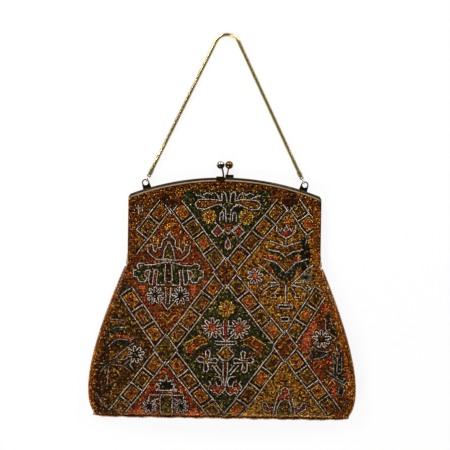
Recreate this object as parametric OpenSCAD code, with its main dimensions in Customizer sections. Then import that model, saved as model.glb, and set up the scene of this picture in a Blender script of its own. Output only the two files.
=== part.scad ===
// Beaded evening purse on a hinged metal frame, lying on its back.
// Millimetres. X right, Y towards the handle, Z up (the front face's normal).
// The hinge line is Y = 0 and the back lies on Z = 0.

/* [Frame] */
// outside width across the two arms
frame_w = 167; // [120:1:220]
// hinge line to the rim's corner
arm_h = 58; // [40:1:80]
// height of the rim's arch above its corners
arch_rise = 16; // [8:1:30]
// rounding of the rim's corners
corner_r = 4; // [2:0.5:8]
// width of the flat strip behind the cloth
strip_w = 10; // [6:0.5:16]
// thickness of the strip's metal
strip_t = 1.4; // [0.8:0.1:2]
// height of the bare rim above the cloth
rim_h = 3.2; // [2:0.1:6]
// rounding of the rim's outer edge
rim_round = 1.4; // [0.6:0.1:2]

/* [Hinge] */
// rivet diameter
pin_d = 2.4; // [1.6:0.1:4]
// rivet head diameter
pin_head_d = 4.4; // [3:0.1:6]
// rivet head thickness
pin_head_t = 0.7; // [0.4:0.1:1.2]
// radius of the round hinge ears
ear_r = 3.4; // [2.6:0.1:4.5]
// thickness of an ear
ear_t = 1.2; // [0.8:0.1:2]

/* [Pouch] */
// hinge line to the bottom seam
pouch_h = 131; // [90:1:180]
// width along the bottom seam
foot_w = 219; // [160:1:280]
// how far the side's upper curve handle stands outside the hinge
shoulder_pull = 19; // [5:1:30]
// how far the side's lower curve handle stands outside the bottom corner
hip_pull = 16.5; // [5:0.5:30]
// thickness of the beaded cloth with its padding
panel_t = 2.6; // [1.5:0.1:4]
// thickness of the lining
lining_t = 0.6; // [0.3:0.1:1]
// swell of the front over the side seams, half way down
belly = 11; // [4:0.5:20]
// swell of the front at the hinge line
crown = 5; // [2:0.5:8]
// extra height of the side seams, half way down
side_h = 11; // [4:0.5:18]
// how far the side strips stand out past the seams
side_bulge = 3.5; // [2:0.5:8]
// cloth left free to fold, below the hinge line
fold_below = 9; // [8:0.5:14]
// cloth left free to fold, above the hinge line
fold_above = 4; // [4:0.5:7]

/* [Lattice] */
// half the width of a lattice diamond
lattice_w = 51; // [35:1:70]
// height of a half diamond above the middle crossing
lattice_up = 54; // [35:1:70]
// height of a half diamond below the middle crossing
lattice_down = 64.5; // [40:0.5:80]
// middle crossing, below the hinge line
lattice_drop = 7.5; // [0:0.5:15]
// length of a bead square along its band
square_l = 12; // [6:0.5:14]
// width of a bead square across its band
square_w = 10; // [6:0.5:14]
// how far the bead squares stand out
square_t = 0.8; // [0.4:0.1:1.5]

/* [Clasp] */
// diameter of the two ball knobs
ball_d = 7; // [5:0.1:10]
// height of the balls' centres above the rim
ball_rise = 10.8; // [8:0.1:15]
// how far each ball leans past the middle plane
ball_lean = 0.5; // [0:0.1:0.5]
// diameter of the knobs' stems
stem_d = 1.5; // [1:0.1:2.2]
// length of a stem's foot along the rim
foot_l = 7.2; // [5:0.1:10]
// height of the rear foot
foot_h = 2.5; // [1.5:0.1:4]
// sheet thickness of the front foot
foot_t = 0.7; // [0.5:0.1:1]

/* [Handle] */
// angle of the lugs round the arch
lug_angle = 17.3; // [12:0.1:19]
// height of a lug's eye above the rim
lug_rise = 5; // [4:0.1:8]
// radius of a lug's eye
lug_eye_r = 2.2; // [2.1:0.1:2.6]
// metal left round a lug's eye
lug_wall = 1; // [0.8:0.1:1.4]
// width of a lug at the rim
lug_base_w = 7.4; // [6:0.1:10]
// mean radius of the jump rings
ring_r = 2.6; // [2.5:0.1:3]
// wire diameter of the jump rings
ring_wire = 0.9; // [0.7:0.1:1]
// radius of the hole in a chain end
end_eye_r = 0.8; // [0.7:0.1:1]
// metal left round the hole in a chain end
end_wall = 0.9; // [0.6:0.1:1.2]
// length of a chain end's cup
cup_l = 4; // [3:0.5:8]
// wall of a chain end's cup
cup_wall = 0.35; // [0.3:0.05:0.8]
// diameter of the snake chain
chain_d = 3.4; // [2.5:0.1:5]
// height of the handle above the rim
handle_rise = 123.5; // [60:0.5:200]
// bend of the chain at the top, to its middle
bend_r = 11; // [6:0.5:20]

/* [Clearances] */
// gap between the closed halves of the frame
half_gap = 0.2; // [0.1:0.05:0.5]
// gap where one piece is seated on another
seat = 0.05; // [0.02:0.01:0.1]
// radial gap between a rivet and an ear
pin_gap = 0.05; // [0.02:0.01:0.1]
// gap between two ears
ear_gap = 0.2; // [0.1:0.05:0.4]
// play of a ring in a chain end
ring_play = 0.15; // [0.1:0.05:0.2]
// play of a ring in a lug, which lets it swing
lug_play = 0.5; // [0.45:0.05:0.7]
// gap between the two balls
ball_gap = 0.3; // [0.2:0.05:0.6]
// gap under a bead square, for the cloth's curve
pad_gap = 0.45; // [0.3:0.05:0.8]
// gap round the hinge, cut out of the cloth
cloth_gap = 1; // [0.5:0.1:2]

/* [Hidden] */
$fn = 64;

gilt = [0.62, 0.5, 0.25];
brass = [0.45, 0.34, 0.15];
steel = [0.75, 0.74, 0.7];
bead = [0.5, 0.33, 0.14];
satin = [0.78, 0.66, 0.45];
amber = [0.66, 0.36, 0.1];

// heights of the stacked layers at the frame
strip_z = panel_t + seat;
rim_d = strip_z + strip_t;
mid_z = rim_d + half_gap / 2;
front_z = 2 * mid_z;

// the arch
half_w = frame_w / 2;
arch_r = (half_w * half_w + arch_rise * arch_rise) / (2 * arch_rise);
arch_y = arm_h + arch_rise - arch_r;
rim_top = arm_h + arch_rise;
arm_y = ear_r + 1.6;
rim_a = asin((half_w - 0.4 * corner_r) / arch_r);

// the ears lie side by side across the hinge axis
out_ear_x = half_w - ear_t;
in_ear_x = out_ear_x - ear_gap - ear_t;
notch_x = in_ear_x - pin_head_t - seat - 0.3;
notch_y = ear_r + cloth_gap;

// the outline of the pouch's side is one curve
shoulder_x = half_w + 0.5;
foot_x = foot_w / 2;
curve = [[shoulder_x, 0], [shoulder_x + shoulder_pull, -0.343 * pouch_h],
    [foot_x + hip_pull, -0.823 * pouch_h], [foot_x, -pouch_h]];
function curve_at(t) = pow(1 - t, 3) * curve[0] + 3 * pow(1 - t, 2) * t * curve[1]
    + 3 * (1 - t) * t * t * curve[2] + t * t * t * curve[3];
function t_at(y, lo = 0, hi = 1, n = 26) = let (m = (lo + hi) / 2)
    n == 0 ? m : curve_at(m)[1] > y ? t_at(y, m, hi, n - 1) : t_at(y, lo, m, n - 1);

// swells down the pouch: s runs from the hinge line to the bottom seam
function swell(s) = s <= 0 ? 0 : pow(s, 1.5) * sqrt(max(0, 1 - s)) / 0.3248;
function seam_z(s) = front_z + (strip_z - front_z) * s + side_h * swell(s);
function crown_z(s) = crown * (1 - s) + belly * swell(s);
function bulge(s) = side_bulge * (0.4 + 0.6 * sin(180 * min(1, max(0, s))));
function seam_x(t) = let (p = curve_at(t)) p[0] - bulge(-p[1] / pouch_h);
function across(u) = pow(max(0, 1 - u * u), 0.7);

// the front below the hinge line: u across, t down, inset inwards
function front_pt(u, t, inset) = let (p = curve_at(t), s = -p[1] / pouch_h)
    [u * (seam_x(t) - inset), p[1] * (pouch_h - inset) / pouch_h,
        seam_z(s) + max(0, crown_z(s) - inset) * across(u)];
// the front above the hinge line
top_w = half_w - 0.3;
function arch_at(x, r) = arch_y + sqrt(r * r - x * x);
function top_z(x, y, inset) =
    let (k = 1 - y / arch_at(x, arch_r - rim_h))
    front_z - inset + crown * pow(max(0, k), 1.3) * across(x / top_w);
// the front on both sides of the hinge line
function fold_z(x, y, inset) = y >= 0 ? top_z(x, y, inset)
    : let (t = t_at(y), s = -y / pouch_h)
        seam_z(s) + (crown_z(s)) * across(x / seam_x(t)) - inset;

// the handle's pull on a lug
lug_c = [(arch_r + lug_rise) * sin(lug_angle), arch_y + (arch_r + lug_rise) * cos(lug_angle)];
apex_y = rim_top + handle_rise;
bend_c = [0, apex_y - bend_r];
bend_off = bend_c - lug_c;
pull = atan2(lug_c[0], bend_off[1]) - asin(bend_r / norm(bend_off));
pull_dir = [-sin(pull), cos(pull)];
lug_r = lug_eye_r + lug_wall;
swing_c = lug_c + (lug_eye_r + lug_wall / 2) * pull_dir;
swing_z = strip_z + strip_t / 2;
// places along the pull, from the middle of the lug's wall
near_y = -(lug_wall / 2 + lug_play + ring_wire / 2);
ring_y = near_y + ring_r;
end_eye_y = ring_y + ring_r + end_eye_r - ring_wire / 2 - ring_play;
end_r = end_eye_r + end_wall;
cup_y = end_eye_y + end_r - 0.3;
cup_floor = 0.8;
chain_y = cup_y + cup_floor + seat;

// the chain's middle line: a leg up, round the bend, a leg down
chain_start = swing_c + chain_y * pull_dir;
bend_start = bend_c + bend_r * [cos(pull), sin(pull)];
leg_l = norm(bend_start - chain_start);
leg_n = 9;
bend_n = 14;
settle_l = 30;
function ease(v) = let (c = min(1, max(0, v))) c * c * (3 - 2 * c);
function chain_z(d) = swing_z + (chain_d / 2 - swing_z) * ease((d - cup_l) / settle_l);
leg = [for (i = [0 : leg_n]) let (d = leg_l * pow(i / leg_n, 1.3), p = chain_start + d * pull_dir)
    [p[0], p[1], chain_z(d)]];
bend = [for (i = [1 : bend_n - 1]) let (a = pull + (180 - 2 * pull) * i / bend_n)
    [bend_r * cos(a), bend_c[1] + bend_r * sin(a), chain_d / 2]];
other_leg = [for (i = [0 : leg_n]) let (p = leg[leg_n - i]) [-p[0], p[1], p[2]]];
chain_path = concat(leg, bend, other_leg);

// the bead squares: four on each side of a lattice diamond
cross_y = -lattice_drop;
sides_down = [for (m = [-2, -1, 0, 1]) each let (y = abs(m) % 2 == 0 ? 0 : 1) [
    [[m * lattice_w, cross_y - y * lattice_down], [(m + 1) * lattice_w, cross_y - (1 - y) * lattice_down]],
    [[m * lattice_w, cross_y - (2 - y) * lattice_down], [(m + 1) * lattice_w, cross_y - (1 + y) * lattice_down]]]];
sides_up = [for (m = [-2, -1, 0, 1]) let (y = abs(m) % 2)
    [[m * lattice_w, cross_y + y * lattice_up], [(m + 1) * lattice_w, cross_y + (1 - y) * lattice_up]]];
function squares(sides) = [for (e = sides, k = [1 : 4]) [e[0] + (e[1] - e[0]) * k / 5, (e[1] - e[0]) / norm(e[1] - e[0])]];
// half a square's longest way across
square_r = norm([square_l, square_w]) / 2;
squares_lower = [for (q = squares(sides_down)) let (x = abs(q[0][0]), y = q[0][1])
    if (y < -fold_below - square_r && y > -pouch_h + square_r + 4 && x < seam_x(t_at(y)) - square_r - 2) q];
squares_upper = [for (q = squares(sides_up)) let (x = abs(q[0][0]), y = q[0][1])
    if (y > fold_above + square_r && x < top_w - square_r && y < arch_at(x, arch_r - rim_h) - square_r - 1) q];

// a closed sheet between two grids of points, rows towards -Y, columns towards +X
module sheet(upper, lower) {
    m = len(upper);
    n = len(upper[0]);
    k = m * n;
    pts = concat([for (r = upper) each r], [for (r = lower) each r]);
    cells = [for (i = [0 : m - 2], j = [0 : n - 2]) i * n + j];
    skin = [for (a = cells) each [[a, a + 1, a + n + 1], [a, a + n + 1, a + n]]];
    back = [for (f = skin) [k + f[0], k + f[2], k + f[1]]];
    rim = concat([for (j = [0 : n - 2]) [j + 1, j]],
        [for (j = [0 : n - 2]) [(m - 1) * n + j, (m - 1) * n + j + 1]],
        [for (i = [0 : m - 2]) [i * n, (i + 1) * n]],
        [for (i = [0 : m - 2]) [(i + 2) * n - 1, (i + 1) * n - 1]]);
    wall = [for (e = rim) each [[e[0], e[1], e[1] + k], [e[0], e[1] + k, e[0] + k]]];
    polyhedron(pts, concat(skin, back, wall));
}

// a solid lofted through closed rings of points
module loft(rings) {
    m = len(rings);
    n = len(rings[0]);
    pts = [for (r = rings) each r];
    wall = [for (i = [0 : m - 2], j = [0 : n - 1])
        let (a = i * n + j, b = i * n + (j + 1) % n) each [[a, b, b + n], [a, b + n, a + n]]];
    ends = [[for (j = [n - 1 : -1 : 0]) j], [for (j = [0 : n - 1]) (m - 1) * n + j]];
    polyhedron(pts, concat(wall, ends));
}

// outline of the frame, inset from its edge, with corners rounded by c
module frame_outline(inset, y0, c) {
    r = arch_r - inset;
    w = half_w - inset;
    cy = arch_y + sqrt(pow(r - c, 2) - pow(w - c, 2));
    tip = [w - c, cy - arch_y] * r / (r - c) + [0, arch_y];
    difference() {
        intersection() {
            translate([0, arch_y]) circle(r, $fn = 256);
            translate([-w, y0]) square([2 * w, rim_top - y0]);
        }
        if (c > 0) for (side = [0, 1]) mirror([side, 0]) difference() {
            polygon([[w - c, cy], [w, cy], [w + 5, cy], [w + 5, tip[1] + 5], [tip[0], tip[1] + 5], tip]);
            translate([w - c, cy]) circle(c);
        }
    }
}

// one half of the frame, as the rear one lies
module half_frame(ear_x) {
    difference() {
        union() {
            translate([0, 0, strip_z]) linear_extrude(strip_t) difference() {
                frame_outline(0.3, arm_y, corner_r);
                frame_outline(strip_w, arm_y - 1, 0);
            }
            translate([0, arch_y, 0]) rotate([0, 0, 90 - rim_a]) rotate_extrude(angle = 2 * rim_a, $fn = 256) {
                translate([arch_r - rim_h, 0]) square([rim_h - rim_round, rim_d]);
                translate([arch_r - rim_h, rim_round]) square([rim_h, rim_d - rim_round]);
                translate([arch_r - rim_round, rim_round]) circle(rim_round, $fn = 32);
            }
            for (side = [0, 1]) mirror([side, 0, 0]) translate([ear_x, 0, mid_z]) {
                rotate([0, 90, 0]) cylinder(r = ear_r, h = ear_t);
                translate([0, 0, strip_z - mid_z]) cube([ear_t, arm_y + 2, strip_t]);
            }
        }
        translate([-half_w - 1, 0, mid_z]) rotate([0, 90, 0])
            cylinder(r = pin_d / 2 + pin_gap, h = frame_w + 2);
    }
}

module rear_frame() color(gilt) half_frame(in_ear_x);

module front_frame() color(gilt)
    translate([0, 0, 2 * mid_z]) mirror([0, 0, 1]) half_frame(out_ear_x);

module hinge_rivet(side) color(brass) mirror([side, 0, 0]) translate([0, 0, mid_z]) rotate([0, 90, 0]) {
    translate([0, 0, in_ear_x - seat - pin_head_t]) cylinder(d = pin_head_d, h = pin_head_t);
    translate([0, 0, in_ear_x - seat]) cylinder(d = pin_d, h = half_w - in_ear_x + 2 * seat);
    translate([0, 0, half_w + seat]) cylinder(d = pin_head_d, h = pin_head_t);
}

module lug(side) color(brass) mirror([side, 0, 0]) translate([0, arch_y, strip_z])
    rotate([0, 0, -lug_angle]) translate([0, arch_r, 0]) linear_extrude(strip_t) difference() {
        union() {
            translate([0, lug_rise]) circle(lug_r);
            polygon([[-lug_base_w / 2, -0.5], [lug_base_w / 2, -0.5], [lug_r, lug_rise], [-lug_r, lug_rise]]);
        }
        translate([0, lug_rise]) circle(lug_eye_r);
        translate([0, -arch_r]) circle(arch_r + seat, $fn = 256);
    }

// knobs: the rear one stands right of the middle, the front one left of it
rear_ball = [ball_d / 2 - ball_gap, rim_top + ball_rise, mid_z + ball_lean];
front_ball = [-ball_d / 2 - 2 * ball_gap, rim_top + ball_rise, mid_z - ball_lean];
rear_stem = [stem_d / 2 + 0.9, rim_top + seat + foot_h, rim_d / 2];
front_stem = [-stem_d / 2 - 0.9, rim_top + seat + foot_t, front_z - rim_d / 2];

module above(y) intersection() {
    children();
    translate([-50, y, -50]) cube(100);
}

module rear_foot() color(brass)
    translate([0, rim_top + seat, 0.4]) cube([foot_l, foot_h, rim_d - 0.8]);

module rear_knob() color(brass) {
    v = rear_ball - rear_stem;
    translate(rear_ball) sphere(d = ball_d);
    above(rear_stem[1] + seat) translate(rear_stem) rotate([0, acos(v[2] / norm(v)), atan2(v[1], v[0])])
        translate([0, 0, -2]) cylinder(d = stem_d, h = norm(v) + 2);
}

module front_foot() color(brass) translate([-foot_l - 0.5, 0, 0]) {
    translate([0, rim_top + seat, front_z - rim_d + 0.3])
        cube([foot_l, foot_t, rim_d - 0.3 + seat + foot_t]);
    translate([0, rim_top - rim_h, front_z + seat]) cube([foot_l, rim_h + seat + foot_t, foot_t]);
}

// the front stem bends to the left as it rises
module front_knob() color(steel) {
    v = front_ball - front_stem;
    l = norm([v[1], v[2]]);
    r = (v[0] * v[0] + l * l) / (-2 * v[0]);
    translate(front_ball) sphere(d = ball_d);
    above(front_stem[1] + seat) translate(front_stem) rotate([atan2(v[2], v[1]), 0, 0])
        translate([-r, 0, 0]) rotate([0, 0, -3]) rotate_extrude(angle = asin(l / r) + 3)
            translate([r, 0]) circle(d = stem_d, $fn = 32);
}

// one flat outline of the pouch, narrowed at the hinge, and of the cloth inside the frame
module back_outline(inset, top_x, top_r) {
    n = 24;
    t0 = t_at(-notch_y);
    side = concat([for (x = [0.05 : 0.1 : 0.95]) [x * top_x, arch_at(x * top_x, top_r)]],
        [[top_x, arch_at(top_x, top_r)], [top_x, notch_y], [notch_x - inset, notch_y],
            [notch_x - inset, -notch_y]],
        [for (i = [0 : n]) let (t = t0 + (1 - t0) * i / n)
            [seam_x(t) - inset, curve_at(t)[1] * (pouch_h - inset) / pouch_h]]);
    k = len(side);
    polygon(concat(side, [for (i = [k - 1 : -1 : 0]) [-side[i][0], side[i][1]]]));
}

module rear_panel() color(bead) linear_extrude(panel_t)
    back_outline(0, top_w, arch_r - rim_h - seat);

module lining_rear() color(satin) translate([0, 0, strip_z]) linear_extrude(lining_t)
    back_outline(panel_t + lining_t + 0.3, half_w - strip_w - 0.3, arch_r - strip_w - 0.3);

rows = 16;
cols = 18;
function u_at(j) = sin(90 * (2 * j / cols - 1));
function front_grid(inset, y0, reach) = let (t0 = t_at(y0))
    [for (i = [0 : rows]) let (t = t0 + (1 - t0) * sin(90 * i / rows))
        [for (j = [0 : cols]) front_pt(u_at(j) * reach, t, inset)]];

module front_panel() color(bead)
    sheet(front_grid(0, -fold_below, 1), front_grid(panel_t, -fold_below, 1));

module lining_front() color(satin) {
    g = panel_t + 0.15;
    sheet(front_grid(g, -fold_below, 1), front_grid(g + lining_t, -fold_below, 1));
}

function fold_grid(inset) = [for (i = [0 : 4])
    let (y = fold_above - 0.1 - (fold_above + fold_below - 0.6) * i / 4)
    [for (j = [0 : cols]) let (x = notch_x * u_at(j)) [x, y, fold_z(x, y, inset)]]];

module front_fold() color(bead) sheet(fold_grid(0), fold_grid(panel_t));

function top_grid(inset, w, r, y0) = [for (i = [0 : 8]) [for (j = [0 : cols])
    let (x = w * u_at(j), y1 = arch_at(x, r), y = y1 + (y0 - y1) * i / 8)
    [x, y, top_z(x, y, inset)]]];

module front_panel_top() color(bead) {
    r = arch_r - rim_h - seat;
    sheet(top_grid(0, top_w, r, fold_above), top_grid(panel_t, top_w, r, fold_above));
}

module lining_top() color(satin) {
    r = arch_r - strip_w - 0.3;
    w = half_w - strip_w - 0.3;
    g = panel_t + 0.15;
    sheet(top_grid(g, w, r, fold_above), top_grid(g + lining_t, w, r, fold_above));
}

module side_strip(side) color(bead) mirror([side, 0, 0]) {
    m = 18;
    k = 8;
    t0 = t_at(-notch_y - 0.6);
    loft([for (i = [0 : m]) let (t = t0 + (0.985 - t0) * i / m, s = -curve_at(t)[1] / pouch_h)
        [for (j = [0 : k]) let (a = -90 + 180 * j / k)
            [seam_x(t) + seat + bulge(s) * cos(a), curve_at(t)[1], seam_z(s) / 2 * (1 + sin(a))]]]);
}

module at_lug(side) mirror([side, 0, 0]) translate([swing_c[0], swing_c[1], swing_z])
    rotate([0, 0, pull]) children();

module ring(side) color(gilt) at_lug(side) translate([0, ring_y, 0]) rotate([0, 90, 0])
    rotate_extrude() translate([ring_r, 0]) circle(d = ring_wire, $fn = 32);

module chain_end(side) color(gilt) at_lug(side) {
    difference() {
        union() {
            translate([0, end_eye_y, -0.6]) cylinder(r = end_r, h = 1.2);
            translate([0, cup_y, 0]) rotate([-90, 0, 0]) cylinder(d = chain_d + 2 * (cup_wall + seat), h = cup_floor + cup_l);
        }
        translate([0, end_eye_y, -1]) cylinder(r = end_eye_r, h = 2);
        translate([0, cup_y + cup_floor, 0]) rotate([-90, 0, 0]) cylinder(d = chain_d + 2 * seat, h = cup_l + 1);
    }
}

module snake_chain() color(gilt) {
    sides = 10;
    n = len(chain_path);
    loft([for (i = [0 : n - 1])
        let (d = chain_path[min(n - 1, i + 1)] - chain_path[max(0, i - 1)], t = d / norm(d),
            e = cross(t, [0, 0, 1]) / norm(cross(t, [0, 0, 1])), f = cross(e, t))
        [for (j = [0 : sides - 1]) let (a = 360 * j / sides)
            chain_path[i] + chain_d / 2 * (cos(a) * e + sin(a) * f)]]);
}

// pads of close beads, set on the front's curve
module pads(list) color(amber) for (q = list) {
    a = q[1] * square_l / 2;
    b = [q[1][1], -q[1][0]] * square_w / 2;
    corner = [for (i = [-1, 0, 1]) [for (j = [-1, 0, 1]) q[0] + i * b + j * a]];
    sheet([for (r = corner) [for (c = r) [c[0], c[1], fold_z(c[0], c[1], -pad_gap - square_t)]]],
        [for (r = corner) [for (c = r) [c[0], c[1], fold_z(c[0], c[1], -pad_gap)]]]);
}

module lattice_lower() pads(squares_lower);

module lattice_upper() pads(squares_upper);

rear_frame();
front_frame();
hinge_rivet(1);  // hinge_rivet_left
hinge_rivet(0);  // hinge_rivet_right
lug(1);  // lug_left
lug(0);  // lug_right
rear_foot();
rear_knob();
front_foot();
front_knob();
rear_panel();
front_panel();
front_fold();
front_panel_top();
side_strip(1);  // side_left
side_strip(0);  // side_right
lining_rear();
lining_front();
lining_top();
ring(1);  // ring_left
ring(0);  // ring_right
chain_end(1);  // chain_end_left
chain_end(0);  // chain_end_right
snake_chain();
lattice_lower();
lattice_upper();
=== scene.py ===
"""Beaded evening purse: strung glass beads on cloth, a gilt kiss-lock frame and a snake-chain handle."""

import math

import bmesh
import bpy
import numpy as np
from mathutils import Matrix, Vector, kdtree


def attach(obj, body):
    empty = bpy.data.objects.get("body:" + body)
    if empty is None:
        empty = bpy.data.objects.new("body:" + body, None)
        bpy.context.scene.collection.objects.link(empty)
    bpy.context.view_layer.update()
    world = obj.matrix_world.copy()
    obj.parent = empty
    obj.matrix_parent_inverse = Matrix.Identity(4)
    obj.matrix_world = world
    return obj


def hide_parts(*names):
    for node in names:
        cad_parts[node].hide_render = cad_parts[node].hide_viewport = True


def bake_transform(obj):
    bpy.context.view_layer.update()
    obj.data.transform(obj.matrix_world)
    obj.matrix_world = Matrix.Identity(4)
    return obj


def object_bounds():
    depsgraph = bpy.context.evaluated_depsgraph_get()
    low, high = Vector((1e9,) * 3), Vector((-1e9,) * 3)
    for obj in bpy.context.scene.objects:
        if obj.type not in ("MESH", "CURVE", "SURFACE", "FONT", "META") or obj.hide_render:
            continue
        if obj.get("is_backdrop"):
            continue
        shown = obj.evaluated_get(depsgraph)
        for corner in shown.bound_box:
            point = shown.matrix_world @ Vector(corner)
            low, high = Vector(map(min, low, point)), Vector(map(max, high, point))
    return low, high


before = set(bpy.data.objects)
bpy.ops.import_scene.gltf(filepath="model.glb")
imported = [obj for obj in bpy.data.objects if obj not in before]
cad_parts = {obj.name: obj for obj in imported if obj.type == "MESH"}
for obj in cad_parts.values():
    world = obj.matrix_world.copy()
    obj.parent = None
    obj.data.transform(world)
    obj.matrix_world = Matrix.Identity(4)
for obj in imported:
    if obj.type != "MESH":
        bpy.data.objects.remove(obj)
cad_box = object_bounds()
MM = 0.001
rng = np.random.default_rng(7)

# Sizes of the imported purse, in millimetres.
FRAME_W, ARM_H, ARCH_RISE, RIM_H = 167.0, 58.0, 16.0, 3.2
POUCH_H, FOOT_W, SHOULDER_PULL, HIP_PULL = 131.0, 219.0, 19.0, 16.5
PANEL_T, SEAT, STRIP_T, HALF_GAP = 2.6, 0.05, 1.4, 0.2
BELLY, CROWN, SIDE_H, SIDE_BULGE = 11.0, 5.0, 11.0, 3.5
STRIP_Z = PANEL_T + SEAT
MID_Z = STRIP_Z + STRIP_T + HALF_GAP / 2
FRONT_Z = 2 * MID_Z
HALF_W = FRAME_W / 2
ARCH_R = (HALF_W**2 + ARCH_RISE**2) / (2 * ARCH_RISE)
ARCH_Y = ARM_H + ARCH_RISE - ARCH_R
RIM_TOP = ARM_H + ARCH_RISE
TOP_W = HALF_W - 0.3
HINGE_W = HALF_W + 0.5
BEAD_PITCH = 1.3
# Heights of the side curve's two handles, as shares of the pouch's height.
SHOULDER_AT, HIP_AT = 0.343, 0.823
# The highest point of the swell is three quarters of the way down.
SWELL_PEAK = 0.3248
# The cloth's ripples die away over these widths at the sides and at the hems.
SIDE_CALM, HEM_CALM = 18, 15


# The pouch's side is one curve, read here by its height.
def side_curve(t):
    a = np.array([HINGE_W, 0.0])
    b = np.array([HINGE_W + SHOULDER_PULL, -SHOULDER_AT * POUCH_H])
    c = np.array([FOOT_W / 2 + HIP_PULL, -HIP_AT * POUCH_H])
    d = np.array([FOOT_W / 2, -POUCH_H])
    t = np.asarray(t, float)[..., None]
    return (1 - t) ** 3 * a + 3 * (1 - t) ** 2 * t * b + 3 * (1 - t) * t * t * c + t**3 * d


CURVE = side_curve(np.linspace(0, 1, 400))


def down(y):
    return np.clip(-np.asarray(y, float) / POUCH_H, 0, 1)


def bulge(y):
    return SIDE_BULGE * (0.4 + 0.6 * np.sin(math.pi * down(y)))


def side_x(y):
    return np.interp(-np.asarray(y, float), -CURVE[:, 1], CURVE[:, 0]) - bulge(y)


def swell(s):
    return s**1.5 * np.sqrt(np.clip(1 - s, 0, 1)) / SWELL_PEAK


def seam_z(y):
    s = down(y)
    return FRONT_Z + (STRIP_Z - FRONT_Z) * s + SIDE_H * swell(s)


def arch_y(x, r=ARCH_R - RIM_H):
    return ARCH_Y + np.sqrt(r * r - np.asarray(x, float) ** 2)


def across(u):
    return np.clip(1 - u * u, 0, 1) ** 0.7


def ripple(x, y):
    """Slow rises and falls of hand-stretched cloth, which die away at its edges."""
    w = np.where(y > 0, TOP_W, side_x(y))
    from_side = np.clip((w - np.abs(x)) / SIDE_CALM, 0, 1)
    from_rim = np.clip((arch_y(np.clip(x, -TOP_W, TOP_W)) - y) / HEM_CALM, 0, 1)
    from_seam = np.clip((y + POUCH_H) / HEM_CALM, 0, 1)
    waves = 0.45 * np.sin(x / 17 + 0.8 * np.sin(y / 23)) + 0.4 * np.sin(y / 13 + x / 41)
    return from_side * from_rim * from_seam * (waves - 0.5)


def front_z(x, y):
    """Height of the front cloth over the table, above and below the hinge line."""
    x, y = np.asarray(x, float), np.asarray(y, float)
    k = np.clip(1 - y / arch_y(np.clip(x, -TOP_W, TOP_W)), 0, 1)
    upper = FRONT_Z + CROWN * k**1.3 * across(x / TOP_W)
    s = down(y)
    lower = seam_z(y) + (CROWN * (1 - s) + BELLY * swell(s)) * across(x / side_x(y))
    return np.where(y >= 0, upper, lower) + ripple(x, y)


def front_normal(x, y):
    step = 0.3
    gx = (front_z(x + step, y) - front_z(x - step, y)) / (2 * step)
    gy = (front_z(x, y + step) - front_z(x, y - step)) / (2 * step)
    n = np.stack([-gx, -gy, np.ones_like(gx)], -1)
    return n / np.linalg.norm(n, axis=-1, keepdims=True)


# Helpers.
def linear(colour):
    """An sRGB hex colour as linear red, green and blue."""
    parts = [int(colour[i : i + 2], 16) / 255 for i in (1, 3, 5)]
    return [v / 12.92 if v <= 0.04045 else ((v + 0.055) / 1.055) ** 2.4 for v in parts]


def rgba(colour):
    return (*linear(colour), 1)


def feed(tree, made, inputs):
    """Links or fills a node's inputs."""
    for name, value in inputs.items():
        if isinstance(value, bpy.types.NodeSocket):
            tree.links.new(value, made.inputs[name])
        else:
            made.inputs[name].default_value = value


def node(tree, kind, inputs, **settings):
    """Adds a node, sets it up and feeds it."""
    made = tree.nodes.new(kind)
    for name, value in settings.items():
        setattr(made, name, value)
    feed(tree, made, inputs)
    return made


def new_material(name):
    mat = bpy.data.materials.new(name)
    mat.use_nodes = True
    tree = mat.node_tree
    return mat, tree, tree.nodes["Principled BSDF"]


def make_object(name, mesh, material, smooth=True):
    obj = bpy.data.objects.new(name, mesh)
    bpy.context.scene.collection.objects.link(obj)
    mesh.materials.clear()
    mesh.materials.append(material)
    mesh.polygons.foreach_set("use_smooth", [smooth] * len(mesh.polygons))
    return obj


def mesh_from(bm, name):
    mesh = bpy.data.meshes.new(name)
    bm.to_mesh(mesh)
    bm.free()
    return mesh


def set_points(mesh, points):
    mesh.vertices.foreach_set("co", (np.asarray(points, float) * MM).ravel())
    mesh.update()


def flat_map(mesh, a, b):
    """Lays a piece's map flat along two axes, one to one, for its baked finish."""
    co = np.empty(len(mesh.vertices) * 3)
    mesh.vertices.foreach_get("co", co)
    co = co.reshape(-1, 3)[:, [a, b]]
    low = co.min(axis=0)
    margin = 0.01
    co = (co - low) / (co.max(axis=0) - low).max() * (1 - 2 * margin) + margin
    corner = np.empty(len(mesh.loops), int)
    mesh.loops.foreach_get("vertex_index", corner)
    layer = mesh.uv_layers.new(name="OFBake")
    layer.data.foreach_set("uv", co[corner].ravel())


# The camera looks straight down on the purse, as it lies on the table.
# From VIEW_FROM metres away, the picture is VIEW_W metres wide.
VIEW_FROM, VIEW_W = 1.6, 0.387
CAMERA_SPOT, CAMERA_TURN = (0.0004, 0.0331, 1.608), math.radians(0.9)


def set_camera():
    data = bpy.data.cameras.new("camera")
    data.lens = data.sensor_width * VIEW_FROM / VIEW_W
    camera = bpy.data.objects.new("camera", data)
    camera.location = CAMERA_SPOT
    camera.rotation_euler = (0, 0, CAMERA_TURN)
    bpy.context.scene.collection.objects.link(camera)
    bpy.context.scene.camera = camera
    bpy.context.scene.view_settings.view_transform = "Standard"


set_camera()


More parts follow.
